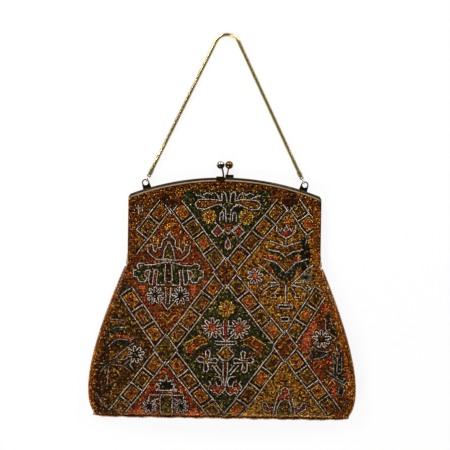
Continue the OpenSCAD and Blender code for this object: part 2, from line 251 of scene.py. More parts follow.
# Materials.
def glass_beads(name, rough, lined):
    """Fire-polished glass seed beads, some lined with foil: small bright glints over a deep colour, real
    ones from the lamps and painted ones carried in a few beads' colour.
    """
    mat, tree, shader = new_material(name)
    # Each bead's colour, with the painted glints of a few beads in it.
    colour = node(tree, "ShaderNodeAttribute", {}, attribute_name="glass")
    place = node(tree, "ShaderNodeTexCoord", {}).outputs["Object"]
    # One step of the pattern to each bead, 1.3 mm, so that no two beads shine alike.
    cells = node(tree, "ShaderNodeTexVoronoi", {"Vector": place, "Scale": 1 / (BEAD_PITCH * MM)})
    shine = node(
        tree,
        "ShaderNodeMapRange",
        {"Value": cells.outputs["Color"], "To Min": rough - 0.08, "To Max": rough + 0.14},
    )
    feed(tree, shader, {
        "Base Color": colour.outputs["Color"],
        "Roughness": shine.outputs["Result"],
        "IOR": 1.52,
        "Specular IOR Level": 0.05,
        "Metallic": lined,
    })
    return mat


def cotton_ground(name, colour, pale, thread):
    """Plain-woven cotton that carries the beads: dull, with a fine over-and-under of its threads."""
    mat, tree, shader = new_material(name)
    place = node(tree, "ShaderNodeTexCoord", {}).outputs["Object"]
    # Thread spacing in millimetres; 0.5 mm is as fine as shows between the beads.
    wave = {"Vector": place, "Scale": math.pi / (thread * MM) / 10}
    warp = node(tree, "ShaderNodeTexWave", wave, bands_direction="X").outputs["Fac"]
    weft = node(tree, "ShaderNodeTexWave", wave, bands_direction="Y").outputs["Fac"]
    weave = node(tree, "ShaderNodeMath", {0: warp, 1: weft}, operation="MULTIPLY").outputs[0]
    tint = node(
        tree, "ShaderNodeMix", {"Factor": weave, "A": rgba(colour), "B": rgba(pale)}, data_type="RGBA"
    )
    bump = node(tree, "ShaderNodeBump", {"Height": weave, "Distance": 0.15 * MM, "Strength": 0.6})
    feed(tree, shader, {
        "Base Color": tint.outputs["Result"],
        "Normal": bump.outputs["Normal"],
        "Roughness": 0.85,
        "Specular IOR Level": 0.1,
    })
    return mat


def satin_lining(name, colour, pale):
    """Satin-woven silk: long floats of thread give a soft band of light, with faint lines across it."""
    mat, tree, shader = new_material(name)
    place = node(tree, "ShaderNodeTexCoord", {}).outputs["Object"]
    # Floats 6 mm long on threads 0.4 mm apart.
    spacing = (1 / (6 * MM), 1 / (0.4 * MM), 1)
    stretch = node(tree, "ShaderNodeMapping", {"Vector": place, "Scale": spacing}).outputs["Vector"]
    floats = node(tree, "ShaderNodeTexNoise", {"Vector": stretch, "Scale": 1, "Detail": 2}).outputs["Fac"]
    tint = node(
        tree, "ShaderNodeMix", {"Factor": floats, "A": rgba(colour), "B": rgba(pale)}, data_type="RGBA"
    )
    bump = node(tree, "ShaderNodeBump", {"Height": floats, "Distance": 0.05 * MM, "Strength": 0.5})
    feed(tree, shader, {
        "Base Color": tint.outputs["Result"],
        "Normal": bump.outputs["Normal"],
        "Roughness": 0.38,
        "Sheen Weight": 0.3,
    })
    return mat


def worn_metal(name, bright, worn, grain, smooth, rough, painted_beyond=None, hairline=0.4, bare=1.0):
    """Polished plated brass, handled for years: mirror gleams broken by dull, darker patches and hairlines.
    The last argument, a centre, a distance and a colour, paints that colour past the distance: painted shade
    or a painted reflection, as on the frame's crest and the clasp balls."""
    mat, tree, shader = new_material(name)
    place = node(tree, "ShaderNodeTexCoord", {}).outputs["Object"]
    patches = node(tree, "ShaderNodeTexNoise", {"Vector": place, "Scale": 1 / (grain * MM), "Detail": 5})
    # Polishing hairlines about 0.3 mm apart.
    hairs = node(
        tree, "ShaderNodeTexNoise", {"Vector": place, "Scale": 1 / (0.3 * MM), "Detail": 2, "Roughness": 0.7}
    )
    wear = node(
        tree, "ShaderNodeMapRange", {"Value": patches.outputs["Fac"], "From Min": 0.38, "From Max": 0.68}
    ).outputs["Result"]
    tint = node(
        tree, "ShaderNodeMix", {"Factor": wear, "A": rgba(bright), "B": rgba(worn)}, data_type="RGBA"
    )
    # Painted light: past a distance from a centre, the metal's colour gives way to painted shade or a
    # painted reflection.
    if painted_beyond:
        centre, distance, other = painted_beyond
        blur = 0.2
        reach = node(
            tree, "ShaderNodeVectorMath", {0: place, 1: [c * MM for c in centre]}, operation="DISTANCE"
        ).outputs["Value"]
        edge = node(
            tree,
            "ShaderNodeMapRange",
            {"Value": reach, "From Min": (distance - blur) * MM, "From Max": (distance + blur) * MM},
        )
        tint = node(
            tree,
            "ShaderNodeMix",
            {"Factor": edge.outputs["Result"], "A": tint.outputs["Result"], "B": rgba(other)},
            data_type="RGBA",
        )
    shine = node(tree, "ShaderNodeMapRange", {"Value": wear, "To Min": smooth, "To Max": rough})
    bump = node(
        tree, "ShaderNodeBump", {"Height": hairs.outputs["Fac"], "Distance": 0.03 * MM, "Strength": hairline}
    )
    feed(tree, shader, {
        "Base Color": tint.outputs["Result"],
        "Roughness": shine.outputs["Result"],
        "Normal": bump.outputs["Normal"],
        "Metallic": bare,
    })
    return mat


# Painted reflection: the frame's crest along its arch is painted near black, for the dark reflection its
# polished top shows.
PAINTED_DARK_CREST = ((0, ARCH_Y, MID_Z), ARCH_R - 2.1, "#1f1309")
FRONT_BALL, REAR_BALL = (-4.1, 84.8, 3.65), (3.2, 84.8, 4.65)
GILT = worn_metal("gilt_brass", "#d8b88a", "#b08c5c", 6, 0.3, 0.45, PAINTED_DARK_CREST, bare=0.5)
DARK_BRASS = worn_metal("aged_brass", "#5a431f", "#2a1c0c", 3, 0.3, 0.48)
# Painted light on the clasp balls: past a distance from a centre, the silvered ball's lower side and stem
# are painted dark brown as shade, and the gilt ball's stem is painted pale as a reflection.
SILVER_UNSHADED_CENTRE = (FRONT_BALL[0] - 0.6, FRONT_BALL[1] + 2.8, FRONT_BALL[2] + 1.2)
# Past this distance from a ball's centre its painted shade or painted reflection begins.
PAINTED_LIGHT_REACH = 3.7
SILVER = worn_metal("silvered_ball", "#c9c3b4", "#8f8872", 2.5, 0.18, 0.34, (SILVER_UNSHADED_CENTRE, PAINTED_LIGHT_REACH, "#3d2a14"))
COPPER = worn_metal("gilt_ball", "#7d5c2c", "#453010", 2.5, 0.16, 0.32, (REAR_BALL, PAINTED_LIGHT_REACH, "#bfae8c"))
CHAIN_GOLD = worn_metal("pale_gilt_chain", "#e0cf9c", "#c0a870", 5, 0.14, 0.24, hairline=0.1, bare=0.94)
COTTON = cotton_ground("beading_cotton", "#160b03", "#2a1706", 0.5)
SATIN = satin_lining("silk_satin", "#8a6a48", "#b08e66")
GLASS = {
    "brown": glass_beads("glass_beads_brown", 0.24, 0.4),
    "amber": glass_beads("glass_beads_amber", 0.22, 0.5),
    "green": glass_beads("glass_beads_green", 0.22, 0.4),
    "red": glass_beads("glass_beads_red", 0.22, 0.35),
    "pale": glass_beads("glass_beads_pale", 0.22, 0.0),
}


# The handle: a snake chain of overlapping plates, one limp length between the two chain ends.
CHAIN_D, BEND_R, BEND_Y = 3.4, 11.0, 186.5
CHAIN_START, BEND_START = np.array([64.82, 76.58]), np.array([9.92, 191.25])
# It leaves its ends at the lugs' height, runs level in their cups, and settles on the table.
SWING_Z, CUP_L, SETTLE_L = 3.35, 4, 30
# Half of a plate's outline: distance from the chain's middle line, and place along it.
PLATE = ((1.63, -0.55), (1.68, -0.25), (1.7, 0.1), (1.66, 0.6))
PLATE_PITCH, PATH_STEP = 1.05, 6.5


def chain_route(step):
    leg = BEND_START - CHAIN_START
    n = max(2, round(np.hypot(*leg) / step))
    right = CHAIN_START + leg * np.linspace(0, 1, n, endpoint=False)[:, None]
    turn = math.atan2(BEND_START[1] - BEND_Y, BEND_START[0])
    angle = np.linspace(turn, math.pi - turn, max(3, round(BEND_R * (math.pi - 2 * turn) / step)) + 1)
    top = np.stack([BEND_R * np.cos(angle), BEND_Y + BEND_R * np.sin(angle)], 1)
    flat = np.concatenate([right, top, right[::-1] * (-1, 1)])
    d = np.minimum(np.hypot(*(flat - CHAIN_START).T), np.hypot(*(flat - CHAIN_START * (-1, 1)).T))
    k = np.clip((d - CUP_L) / SETTLE_L, 0, 1)
    z = SWING_Z + (CHAIN_D / 2 - SWING_Z) * k * k * (3 - 2 * k)
    return np.column_stack([flat, z])


def thread_on(name, shape, points, aim, size, material, glass=None):
    """Sets one small shape on every point, its axis along aim, as one mesh."""
    seats = bpy.data.meshes.new(name + "_seats")
    seats.vertices.add(len(points))
    set_points(seats, points)
    layers = [("aim", "FLOAT_VECTOR", "vector", aim), ("size", "FLOAT", "value", size)]
    if glass is not None:
        layers.append(("glass", "FLOAT_COLOR", "color", np.column_stack([glass, np.ones(len(glass))])))
    for word, kind, field, values in layers:
        layer = seats.attributes.new(word, kind, "POINT")
        layer.data.foreach_set(field, np.asarray(values, float).ravel())
    holder = bpy.data.objects.new(name + "_seats", seats)
    pattern = bpy.data.objects.new(name + "_shape", shape)
    for obj in (holder, pattern):
        bpy.context.scene.collection.objects.link(obj)
    tree = bpy.data.node_groups.new(name + "_stringing", "GeometryNodeTree")
    tree.interface.new_socket("Geometry", in_out="INPUT", socket_type="NodeSocketGeometry")
    tree.interface.new_socket("Geometry", in_out="OUTPUT", socket_type="NodeSocketGeometry")
    start = node(tree, "NodeGroupInput", {})
    one = node(tree, "GeometryNodeObjectInfo", {"Object": pattern})
    axis = node(tree, "GeometryNodeInputNamedAttribute", {"Name": "aim"}, data_type="FLOAT_VECTOR")
    scale = node(tree, "GeometryNodeInputNamedAttribute", {"Name": "size"}, data_type="FLOAT")
    turn = node(tree, "FunctionNodeAlignRotationToVector", {"Vector": axis.outputs["Attribute"]}, axis="Z")
    strung = node(
        tree,
        "GeometryNodeInstanceOnPoints",
        {
            "Points": start.outputs[0],
            "Instance": one.outputs["Geometry"],
            "Rotation": turn.outputs["Rotation"],
            "Scale": scale.outputs["Attribute"],
        },
    )
    real = node(tree, "GeometryNodeRealizeInstances", {"Geometry": strung.outputs["Instances"]})
    node(tree, "NodeGroupOutput", {0: real.outputs["Geometry"]})
    holder.modifiers.new("stringing", "NODES").node_group = tree
    bpy.context.view_layer.update()
    mesh = bpy.data.meshes.new_from_object(holder.evaluated_get(bpy.context.evaluated_depsgraph_get()))
    mesh.name = name
    bpy.data.objects.remove(holder)
    bpy.data.objects.remove(pattern)
    bpy.data.node_groups.remove(tree)
    return make_object(name, mesh, material)


def chain_plate():
    """One plate of the chain: a barrel ring that tucks under the next."""
    bm = bmesh.new()
    profile = [bm.verts.new((r * MM, 0, z * MM)) for r, z in PLATE]
    edges = [bm.edges.new(pair) for pair in zip(profile, profile[1:])]
    bmesh.ops.spin(
        bm, geom=profile + edges, cent=(0, 0, 0), axis=(0, 0, 1), angle=math.tau, steps=12, use_merge=True
    )
    bmesh.ops.remove_doubles(bm, verts=bm.verts, dist=1e-6)
    bmesh.ops.recalc_face_normals(bm, faces=bm.faces)
    return mesh_from(bm, "chain_plate")


def make_chain():
    route = chain_route(PLATE_PITCH)
    aim = np.gradient(route, axis=0)
    chain = thread_on("snake_chain_plates", chain_plate(), route, aim, np.ones(len(route)), CHAIN_GOLD)
    path = chain_route(PATH_STEP)
    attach(chain, "handle")
    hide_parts("snake_chain")


make_chain()


# Cloth.
def grid_sheet(name, columns, rows, place, thick, material, turn=False):
    """A sheet woven as a grid, laid by place(u, v), and given its thickness."""
    bm = bmesh.new()
    bmesh.ops.create_grid(bm, x_segments=columns, y_segments=rows, size=1)
    uv = np.array([v.co[:2] for v in bm.verts])
    for vert, co in zip(bm.verts, place(uv[:, 0], uv[:, 1]) * MM):
        vert.co = co
    if turn:
        bmesh.ops.reverse_faces(bm, faces=bm.faces)
    bmesh.ops.solidify(bm, geom=bm.faces, thickness=thick * MM)
    bmesh.ops.recalc_face_normals(bm, faces=bm.faces)
    return make_object(name, mesh_from(bm, name), material)


# Where the cloth ends: above the bottom seam, below the rim and inside the side seams.
FRONT_LOW, HEM, SEAM = -POUCH_H + 0.4, 0.3, 0.2
# A band across the front where the mouth opens, in metres along Y; nothing here bends the cloth along it.
FOLD_START, FOLD_END = (0, -0.022, 0), (0, 0.008, 0)
# Cloth and lining: thickness, and how far inside the pouch's outline each one ends.
CLOTH_T, CLOTH_INSET, LINING_T, LINING_INSET = 1.0, 0.4, 0.4, 2.2
# How deep the front's cloth and lining lie under its beads, and how high the back's lie over the table.
FRONT_CLOTH, FRONT_LINING, BACK_CLOTH, BACK_LINING = 0.75, 2.5, 1.5, 3.2
# The bottom seam's edging reaches past the seam's ends.
CORNER_W = FOOT_W / 2 + 1


def pleats(x, y):
    """Soft gathers of the lining, deepest at the hem that is sewn to the frame."""
    deep = np.clip((y + 110) / 150, 0, 1)
    return 0.45 * np.sin(x / 2.1 + 0.7 * np.sin(y / 11)) * deep


def cloth_edge(y):
    """Half-width of the cloth at a height: the pouch's own below the hinge, the frame's above."""
    return np.where(y > 0, TOP_W, side_x(y) - SEAM)


def cloth_place(height, inset, gather=0):
    """Lays a sheet inside the pouch's outline, at a height over the table."""

    def place(u, v):
        x_top = u * (TOP_W - inset)
        top = arch_y(x_top) - HEM - inset
        y = np.where(v > 0, v * top, -v * (FRONT_LOW + inset))
        x = np.where(v > 0, x_top, u * (cloth_edge(y) - inset))
        return np.column_stack([x, y, height(x, y) + gather * pleats(x, y)])

    return place


def under_front(drop):
    return lambda x, y: front_z(x, y) - drop


def level(z):
    return lambda x, y: np.full(np.shape(x), float(z))


def follow_hinge(obj):
    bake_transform(obj)
    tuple(FOLD_START)
    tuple(FOLD_END)


def follow_body(obj):
    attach(obj, "purse_body")


def bottom_sag(x):
    """The bottom seam hangs a little lower in the middle, and its edging is uneven."""
    uneven = 1.8 + 0.4 * np.sin(x / 2.6) * np.sin(x / 7.1 + 1)
    return uneven * np.clip(1 - (x / CORNER_W) ** 16, 0, 1)


def make_welt():
    """The rolled cloth of the bottom seam, which the edging beads are whipped over."""
    half, roll, middle = FOOT_W / 2 - 0.3, 1.3, 1.75

    def place(u, v):
        x, a = v * half, u * math.pi / 2
        y = -POUCH_H + 0.6 - (roll + bottom_sag(x)) * np.cos(a)
        return np.column_stack([x, y, middle + np.sin(a)])

    welt = grid_sheet("bottom_welt", 8, 60, place, 0.4, COTTON)
    follow_body(welt)
    return welt


def sew_in(cloth, follow, nodes):
    """Sews a cloth into the pouch, in place of its CAD nodes."""
    follow(cloth)
    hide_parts(*nodes)


def beaded_wall(name, grid, height, follow, nodes):
    """Cotton that carries the beads of one side of the pouch."""
    cloth = grid_sheet(name, grid, grid, cloth_place(height, CLOTH_INSET), CLOTH_T, COTTON)
    sew_in(cloth, follow, nodes)


def pleated_lining(name, height, follow, nodes):
    """Satin inside one side of the pouch, on a grid fine enough for its pleats."""
    lining = grid_sheet(name, 110, 48, cloth_place(height, LINING_INSET, 1), LINING_T, SATIN)
    sew_in(lining, follow, nodes)


def make_cloths():
    welt = make_welt()
    front = ("front_panel", "front_fold", "front_panel_top", "lattice_lower", "lattice_upper")
    beaded_wall("front_cloth", 72, under_front(FRONT_CLOTH), follow_hinge, front)
    pleated_lining("front_lining", under_front(FRONT_LINING), follow_hinge, ("lining_front", "lining_top"))
    beaded_wall("back_cloth", 48, level(BACK_CLOTH), follow_body, ("rear_panel",))
    pleated_lining("back_lining", level(BACK_LINING), follow_body, ("lining_rear",))


# The side strips, from just below the hinge to just above the bottom seam.
SIDE_TOP, SIDE_RUN = -4.2, POUCH_H - 4.6
# The strips lie clear of the table and of the seams; cloth and beads lie this far inside the bulge.
SIDE_LOW, SIDE_CLEAR, SIDE_T, SIDE_IN, SIDE_BEADS_IN = 0.75, 0.05, 0.6, 0.9, 0.45


def side_place(side, inside):
    """Lays a strip round one side, from the back seam to the front seam."""

    def place(u, v):
        y = SIDE_TOP - SIDE_RUN * (v + 1) / 2
        a = u * math.pi / 2
        x = side_x(y) + SIDE_CLEAR + (bulge(y) - inside) * np.cos(a)
        z = seam_z(y) / 2 * (1 + np.sin(a))
        return np.column_stack([side * x, y, np.maximum(z, SIDE_LOW)])

    return place


def make_sides():
    for side, word in ((-1, "left"), (1, "right")):
        strip = grid_sheet(f"side_cloth_{word}", 12, 60, side_place(side, SIDE_IN), SIDE_T, COTTON)
        follow_body(strip)
        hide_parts(f"side_{word}")


make_cloths()
make_sides()


# Motifs, drawn in millimetres: line colour, fill and the outlines that share them.
# A figure with an axis is drawn as one half, (out from the axis, height), and sewn on both sides of it.
FIGURES = (
    # Crowned figure of the left diamond.
    (-47.5, (
        ("pale", "rust", [
            (0, 1), (5, 2), (11, 2.5), (15, 5.5), (18, 9), (18.5, 15), (14, 15.5), (13, 10.5), (10.5, 9),
            (10, 12.5), (6, 13), (5.5, 19), (2, 22), (0, 26.5),
        ]),
        ("pale", "olive", [(0, 3), (5, 3), (4, 10), (2, 15), (0, 17.5)]),
        ("gold", None, [(9, 20), (9.5, 14)], [(13, 22), (13, 16)]),
        (None, "amber", [(0, 38), (4, 38), (5, 32), (2, 28), (0, 28)]),
        ("pale", "green", [
            (3.5, 0), (9, -1), (12, -2), (20, -2.5), (22, -0.5), (26, -1), (27, -3), (25.5, -6), (30, -7),
            (30, -12), (26.5, -12.5), (25, -16.5), (20.5, -16.5), (18.5, -13.5), (21, -10.5), (19.5, -7),
            (16, -6.5), (17.5, -15), (16, -19), (13.5, -19), (12.5, -6.5), (9.5, -6.5), (10, -19),
            (3.5, -19),
        ]),
        (None, "red",
            [(10, -7), (12.5, -7), (13, -19), (10.5, -19)],
            [(16.5, -7), (19.5, -7.5), (20.5, -10.5), (17, -12)], [(8, 0.5), (19, 0), (19, -2), (8, -1)],
        ),
        ("pale", "umber", [(0, 0), (3, 0), (3, -15), (1.5, -16.5), (0, -16.5)]),
        (None, "coral", [(20, -19.5), (25, -18.5), (23, -27.5), (19, -27.5)]),
        ("pale", None, [(2, -21.5), (2, -35)], [(6, -33), (0, -40)]),
        ("gold", None, [(6, -45), (0, -51.5)], [(3.5, -42), (0, -45.5)]),
    )),
    # Leaf spray of the top middle field.
    (3, (
        ("pale", "amber", [
            (6, 54), (12, 55), (19, 55), (25, 54.5), (28.5, 50.5), (26, 47), (20, 46.5), (15, 48.5),
            (10, 50.5), (6, 51),
        ]),
        ("pale", None,
            [(10, 50.5), (5.5, 49.5), (2.5, 46), (2, 41), (1.5, 36)],
            [(1, 53), (2, 60), (4.5, 62), (6, 60), (5.5, 54)],
            [(7.5, 55), (10, 59.5), (13, 61.5), (15, 59), (18.5, 61), (21.5, 59.5)],
            [(20, 56), (24, 58), (27, 58.5)], [(4, 37.5), (4, 43), (5.5, 44.5), (7, 43), (7, 36.5)],
        ),
        (None, "dark", [(5, 48), (10, 49.5), (14, 46), (6, 45)]),
        ("pale", "red", [(9, 33), (14, 27.5), (9, 22.5), (4, 27.5), (9, 33)]),
        ("pale", None, [(11, 35), (0, 25.5)]),
        ("pale", "red", [(0, 22), (2, 18), (2, 14), (0, 12.5)]),
        (None, "rust", [(0, 34), (5, 34), (0, 26.5)]),
    )),
    # Winged plant of the right diamond.
    (53, (
        (None, "red", [(0, 29), (5, 28.5), (4, 25), (0, 23.5)]),
        ("pale", None,
            [(8, 33), (8, 28.5), (4.5, 25), (0, 22.5)],
            [(6, 31), (4.5, 28.5), (3, 32), (1.5, 29.5), (0, 34)], [(0, 22), (0, 15.5)],
            [(0, 15.5), (5, 17.5), (8, 18), (13, 19.5)],
        ),
        ("rust", None, [(0, 11.5), (5, 13.5), (12, 15)]),
        ("pale", None, [(0, 7), (6, 11), (10, 11.5), (15, 13)]),
        (None, "green", [(0, 6), (7, 10), (15, 12), (14, 9), (6, 6.5), (0, 4)]),
        (None, "red", [(6, 3), (10, 6), (18, 7.5), (15, 3.5), (9, 2)]),
        ("rust", None, [(0, -0.5), (7, 5)]),
        ("pale", None, [(0, -7), (5, -2.5), (9, 2), (14, 3), (18, 4.5)]),
        (None, "slate_dark", [(0, -8.5), (8, 0.5), (16, 2), (12, -4), (4, -14), (0, -14.5)]),
        ("pale", None, [(23, -0.5), (18, -4), (12, -10), (6, -15.5), (15, -15.5)]),
        (None, "red", [(11, -4), (16, -3), (12, -8)]),
        ("pale", None,
            [(5, -17.5), (14, -19), (19, -23), (22, -20), (19, -17.5)], [(0, -18), (0, -33)],
            [(5, -19), (9, -25), (8, -28), (12, -28)],
        ),
        ("pale", "dark",
            [(0, -34.5), (6, -34.5), (6, -37.5), (0, -37.5)], [(0, -45), (3.5, -45), (3.5, -48), (0, -48)],
        ),
    )),
    # Vase of flowers in the lower middle diamond.
    (2.5, (
        (None, "orange", [(0, -30.5), (7, -38), (2, -46), (0, -46)]),
        (None, "red", [(0, -49), (1.5, -49), (1.5, -65), (0, -65)]),
        ("pale", None, [(2, -49), (2, -60)], [(8, -58.5), (1, -65)]),
        ("pale", "umber", [(1, -66), (9, -66), (9, -68.5), (1, -68.5)]),
        (None, "rust", [
            (15, -66), (23, -62), (33, -68), (33.5, -75), (29, -78), (26, -76), (25, -72), (20, -69),
        ]),
        ("gold", None, [(15, -65), (23, -61.5), (34, -68)], [(16, -68), (21, -69.5), (25.5, -73)]),
        (None, "slate_dark", [(3, -69.5), (20, -70), (25, -73), (24, -77), (18, -76), (9, -74)]),
        ("pale", "ochre", [(0, -70), (3, -71), (4, -73.5), (8, -76.5), (2.5, -82), (0, -82)]),
        ("pale", "rust", [(0, -82), (2, -82), (2, -94), (0, -107)]),
        (None, "rust", [(18.5, -75), (23, -75), (23.5, -78.5), (18.5, -79.5)]),
        (None, "gold", [(14, -80), (18.5, -80), (18.5, -85), (14, -85)]),
        ("pale", None,
            [(14, -80), (13, -75), (15, -73), (17, -75), (16.5, -80)],
            [(18.5, -80.5), (22, -79), (24.5, -81.5), (22, -84), (18.5, -84)],
            [(15, -85), (14, -90), (16, -92.5), (18.5, -91), (18.5, -85)],
            [(14, -81.5), (8, -80), (6, -82), (8, -84.5), (14, -84)], [(11, -86.5), (4.5, -94)],
            [(8.5, -85), (3.5, -91)],
        ),
        (None, "red", [
            (0, -104.5), (6, -105), (13, -103.5), (13, -107), (9, -109), (5, -110.5), (0, -106),
        ]),
        ("pale", "dark", [
            (8.5, -95.5), (4, -96.5), (2, -100.5), (3.5, -104.5), (6.5, -104), (7.5, -100.5),
        ]),
        ("pale", None, [
            (13.5, -100), (12, -102), (14, -105), (14, -107), (11, -107.5), (11, -110), (8, -109.5),
            (5, -112), (2.5, -110), (0, -106.5),
        ]),
    )),
    # Stand with a fan, bottom left.
    (-47.5, (
        ("pale", None, [(0, -112.5), (14.5, -112.5), (14.5, -118.5)], [(0, -109), (8.5, -109)]),
        ("pale", "dark", [
            (0, -108), (9, -107.5), (5, -105.5), (9, -102.5), (4, -103), (6, -98.5), (1.5, -101.5),
            (0, -96.5),
        ]),
        ("pale", None, [(10, -120.5), (9.5, -117), (6.5, -115.5), (5, -118), (6, -120.5)]),
        (None, "olive", [(0, -113.5), (5, -113.5), (5, -133), (0, -133)]),
        ("pale", None, [(5, -114), (5, -131)], [(5, -131), (19, -131.5)]),
        (None, "coral", [(20, -126), (25, -124), (30, -132), (19, -132)]),
    )),
    # Arch with horns, bottom right.
    (53.5, (
        (None, "red", [(0, -105), (3.5, -106), (5, -115), (0, -115.5)]),
        ("pale", None, [(0, -104.5), (3, -106), (3.5, -110), (6.5, -113), (8, -120), (9.5, -128.5)]),
        (None, "olive", [(0, -115), (4, -117), (6, -122), (6.5, -130), (0, -130)]),
        ("pale", None, [(0, -114.5), (4, -116.5), (6, -122), (6.5, -129)]),
        ("pale", "rust", [(9, -121.5), (13, -123), (15.5, -118), (19, -118), (18, -124), (12, -128)]),
        (None, "red", [(9.5, -122), (15, -121), (13, -126.5), (9.5, -126)]),
    )),
    # Sprays and ribbons of the side fields, each sewn once.
    (None, (
        ("pale", None, [(-76, 46.5), (-70.5, 46.5)], [(-74.5, 49), (-74, 41.5)], [(-71, 49), (-71, 44.5)]),
        (None, "dark", [(66, 22), (71, 26), (74, 12), (74, -12), (70, -14), (67, -2), (65, 10)]),
        ("slate", None, [(69, 25), (71.5, 22), (70, 17)], [(70, 2), (73, -4), (71, -9)]),
        ("olive", None, [(33, 21), (32, 14)]),
        (None, "gold", [(30, 14), (36, 16), (36, 11), (30, 10)]),
        ("slate", None, [(-98, -51), (-94, -48.5), (-84, -50)]),
        (None, "rust", [(-93, -50), (-83, -50.5), (-84, -53.5), (-92, -53)]),
        (None, "slate_dark", [
            (-101, -65), (-98, -60), (-91, -56), (-82, -57), (-82, -60), (-91, -60), (-97, -64),
        ]),
        ("slate", None, [(-97, -58.5), (-91, -55.5), (-83, -56)]),
        (None, "red", [(-94, -66), (-89, -62), (-76, -63), (-76, -66), (-88, -65)]),
        ("dun", None, [(-97, -72), (-93, -67.5), (-88, -66), (-79, -67), (-75, -64)]),
        (None, "slate_dark", [
            (-94, -71), (-89, -67.5), (-76, -67.5), (-77, -70.5), (-88, -71), (-93, -73.5),
        ]),
        (None, "ochre", [(-91, -82), (-87, -77), (-78, -71), (-80, -79), (-84, -83)]),
        ("dun", None,
            [(-92, -82), (-87, -77), (-80, -71), (-76, -69)], [(-92, -83), (-84, -83.5), (-80, -80)],
        ),
        ("slate", None, [(-108, -87), (-101, -86.5)]),
        (None, "slate", [(-95, -85), (-91, -86), (-91, -88.5), (-95, -87)]),
        ("dun", None, [(-94, -87.5), (-84, -88.5), (-78, -93)]),
        ("dun", "slate_dark", [(-83, -87), (-79, -83), (-77, -85), (-79, -87), (-76, -91)]),
        (None, "umber", [
            (-108, -88), (-101, -89), (-102, -99), (-100, -107), (-94, -110), (-96, -116), (-106, -114),
        ]),
        (None, "slate_dark",
            [(-102, -70), (-96, -69), (-99, -76), (-96, -82), (-102, -84)],
            [(-88, -30), (-84, -25), (-82, -19), (-84, -16), (-88, -22)],
        ),
        ("slate", None, [(-99, -88), (-104, -94)]),
        ("brass", None, [(-94, -90), (-89, -94), (-87, -98)]),
        (None, "rust", [(-97, -90), (-94.5, -90), (-94, -104), (-97, -104)]),
        ("dun", None, [(-97.5, -89.5), (-97.5, -104)]),
        (None, "slate_dark", [(-102, -106), (-92, -105), (-93, -108.5), (-101, -108.5)]),
        ("slate", None, [(-108, -112), (-104, -119), (-98, -125)]),
        (None, "coral", [(72, -52), (78, -47), (81, -50), (77, -62), (75, -68), (70, -75), (66, -70)]),
        (None, "red", [(83, -34), (93, -34), (94, -40), (84, -40)]),
        (None, "green", [(88, -40), (92, -40), (92, -44), (88, -44)]),
        (None, "rust", [(93, -48), (99, -55), (98, -58), (94, -54)]),
        (None, "slate_dark", [(100, -59), (104, -62), (104, -76), (101, -78), (98, -76), (102, -72)]),
        (None, "umber", [(88, -46), (92, -46), (94, -53), (100, -59), (98, -62), (90, -57), (88, -54)]),
        ("dun", None, [(88, -46), (88, -55), (92, -59), (99, -63), (101, -67), (101, -74)]),
        ("slate", None, [(92, -46), (94, -53), (100, -58)], [(95, -66), (97, -65), (98, -72), (100, -76)]),
        (None, "slate_dark", [(77, -74), (89, -74), (92, -73), (89, -78), (85, -80), (78, -80)]),
        ("dun", None,
            [(78, -80), (85, -79), (90, -76)], [(77, -70), (74, -72), (76, -75), (73, -78), (76, -82)],
            [(77, -70), (82, -73), (89, -74), (93, -72)],
        ),
        (None, "red", [(92, -77), (94, -77), (94, -83), (92, -83)]),
        (None, "slate_dark", [(95, -76), (99, -79), (104, -79), (104, -94), (101, -98), (96, -94)]),
        ("slate", None, [(94, -75), (95, -92)]),
        ("dun", None,
            [(93, -74), (98, -80), (98, -91), (100, -93), (102, -91), (102, -79)],
            [(105, -76), (105, -88), (107, -89), (108, -78)],
        ),
        (None, "slate_dark", [(96, -94), (103, -98), (109, -90), (110, -94), (104, -101), (97, -96)]),
        ("dun", None, [(89, -90), (103, -99), (110, -90)]),
        ("slate", None, [(90, -94), (104, -102), (111, -94)]),
        (None, "coral",
            [(94, -106), (98, -106), (98, -113), (95, -113)],
            [(106, -104), (110, -104), (111, -108), (108, -114), (105, -112)],
        ),
        ("slate", "umber", [(99, -110), (100, -105), (103, -102), (105, -106), (103, -112), (99, -110)]),
        ("coral", None, [(90, -103), (94, -98), (97, -102), (93, -105)]),
        ("slate", None,
            [(113, -108), (105, -119), (110, -123)], [(75, -129.5), (80, -127.5), (86, -129.5)],
        ),
    )),
)
# Flowers: centre, reach, petals, line colour and fill.
FLOWERS = (
    ((-58.5, -28), 7.5, 9, "pale", "dark"),
    ((-36.5, -28), 7.5, 9, "pale", "dark"),
    ((-74, -78.5), 7.5, 8, "pale", "dark"),
    ((-61.5, -123), 6.5, 8, "pale", "dark"),
    ((-34.5, -123), 6.5, 8, "pale", "dark"),
    ((-13, 40), 6.5, 9, "gold", "orange"),
    ((19, 40), 6.5, 9, "gold", "orange"),
    ((27, -10.5), 7, 8, "pale", "coral"),
    ((71, -10.5), 4.5, 7, "slate", "dark"),
    ((84.5, -63), 8, 9, "pale", "umber"),
    ((2.5, -38.5), 7, 9, "gold", "orange"),
    ((-9, -55), 9, 9, "pale", "coral"),
    ((14, -55), 9, 9, "pale", "coral"),
)

# Bead colours: the piece each goes into, and its shade.
COLOURS = {
    "umber": ("brown", "#331c08"),
    "brown": ("brown", "#6f3c10"),
    "rust": ("brown", "#84411a"),
    "rust_dark": ("brown", "#4f2810"),
    "amber": ("amber", "#a86018"),
    "gold": ("amber", "#c8943a"),
    "ochre": ("amber", "#b2701f"),
    "brass": ("amber", "#a97a36"),
    "orange": ("amber", "#bd6420"),
    "olive": ("green", "#54461a"),
    "green": ("green", "#35421f"),
    "dark": ("green", "#1f1a0e"),
    "slate": ("green", "#687064"),
    "slate_dark": ("green", "#2b332c"),
    "red": ("red", "#a03222"),
    "coral": ("red", "#d4663a"),
    "pale": ("pale", "#dfcab6"),
    "dun": ("pale", "#a8957f"),
}

# Strung in lines, of smaller beads.
STRING_COLOURS = ("pale", "dun")

